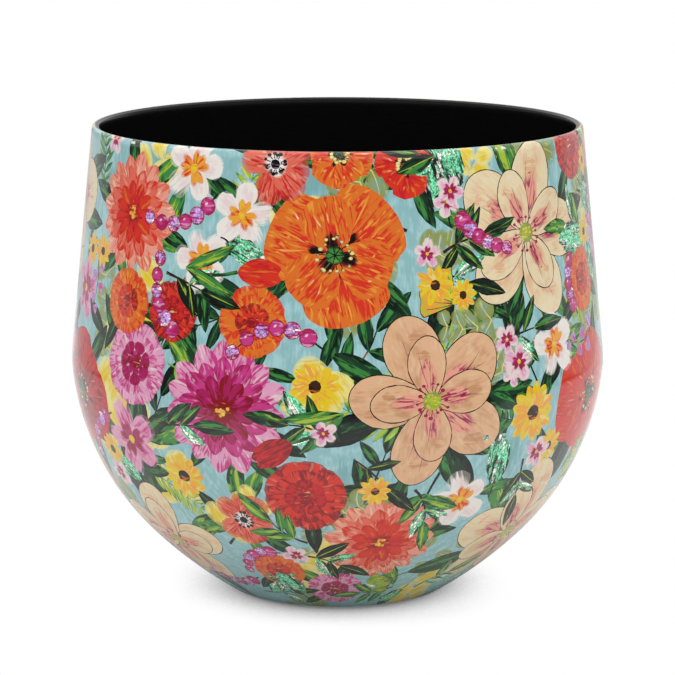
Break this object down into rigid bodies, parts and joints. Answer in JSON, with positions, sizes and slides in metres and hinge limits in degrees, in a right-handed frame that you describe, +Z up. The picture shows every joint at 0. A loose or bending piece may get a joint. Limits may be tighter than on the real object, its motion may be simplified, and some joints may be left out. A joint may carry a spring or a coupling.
{
  "type": "cachepot",
  "caption": "Round cachepot with a steep upper wall, tight shoulder and deep bowl, printed and lacquered outside, lined black inside, on felt pads.",
  "frame": {"origin": "on the pot's axis, in the plane that the felt pads stand on", "axes": "+Z up along the pot's axis, -Y towards the viewer of the picture"},
  "size_m": [0.32, 0.3198, 0.282],
  "materials": {
    "cast_body": "matte",
    "black_lining": "satin",
    "lacquered_print": "gloss",
    "felt": "matte"
  },
  "bodies": {
    "root": {"pot_body": "cast_body", "inner_lining": "black_lining", "print_wrap": "lacquered_print", "foot_pad_1": "felt", "foot_pad_2": "felt", "foot_pad_3": "felt", "foot_pad_4": "felt"}
  },
  "joints": []
}
